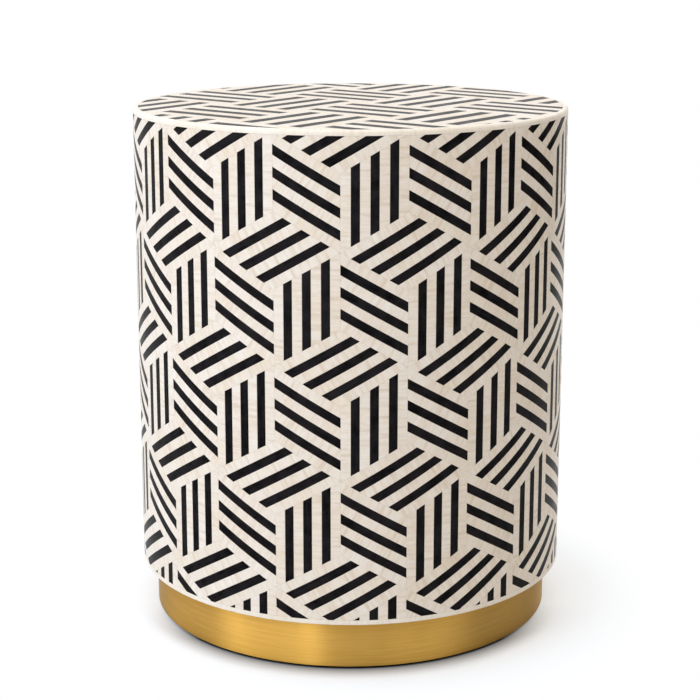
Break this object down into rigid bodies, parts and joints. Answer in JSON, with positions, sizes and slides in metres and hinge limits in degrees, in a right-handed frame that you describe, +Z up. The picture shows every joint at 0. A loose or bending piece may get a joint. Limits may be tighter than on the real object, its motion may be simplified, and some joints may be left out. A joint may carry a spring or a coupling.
{
  "type": "drum stool",
  "caption": "Round drum stool with a bone and black strip inlay skin, tumbling blocks on the wall and a block weave on the seat, on a recessed brass-clad plinth; sits as a seat or a side table.",
  "frame": {"origin": "centre of the footprint, on the floor under the glide pads", "axes": "+Z up along the drum's axis to the seat, front towards -Y, +X to the right seen from the front"},
  "size_m": [0.42, 0.42, 0.5],
  "materials": {
    "bone": "polished ivory bone under clear lacquer",
    "black_resin": "polished black resin",
    "bone_band": "warm bone edging under clear lacquer",
    "brass": "brushed round the plinth, satin lacquer",
    "black_paint": "matt black paint on plywood",
    "felt": "dark pressed felt",
    "screw_steel": "zinc-plated steel",
    "solid_wood": "sawn softwood",
    "plywood": "raw plywood"
  },
  "bodies": {
    "root": {"wall_bone_straight": "bone", "wall_bone_rising": "bone", "wall_bone_falling": "bone", "top_bone_rising": "bone", "top_bone_falling": "bone", "wall_black_straight": "black_resin", "wall_black_rising": "black_resin", "wall_black_falling": "black_resin", "top_black_rising": "black_resin", "top_black_falling": "black_resin", "rim_segments": "bone_band", "lower_band_segments": "bone_band", "brass_band": "brass", "base_board": "black_paint", "glide_pads": "felt", "base_screws": "screw_steel", "plinth_screws": "screw_steel", "floor_screws": "screw_steel", "seat_screws": "screw_steel", "post_1": "solid_wood", "post_2": "solid_wood", "post_3": "solid_wood", "post_4": "solid_wood", "post_5": "solid_wood", "post_6": "solid_wood", "seam_batten_left": "solid_wood", "seam_batten_right": "solid_wood", "plinth_ring_1": "plywood", "plinth_ring_2": "plywood", "hoop_1": "plywood", "hoop_2": "plywood", "bottom_board": "plywood", "top_board": "plywood", "shell_front": "plywood", "shell_back": "plywood"}
  },
  "joints": []
}
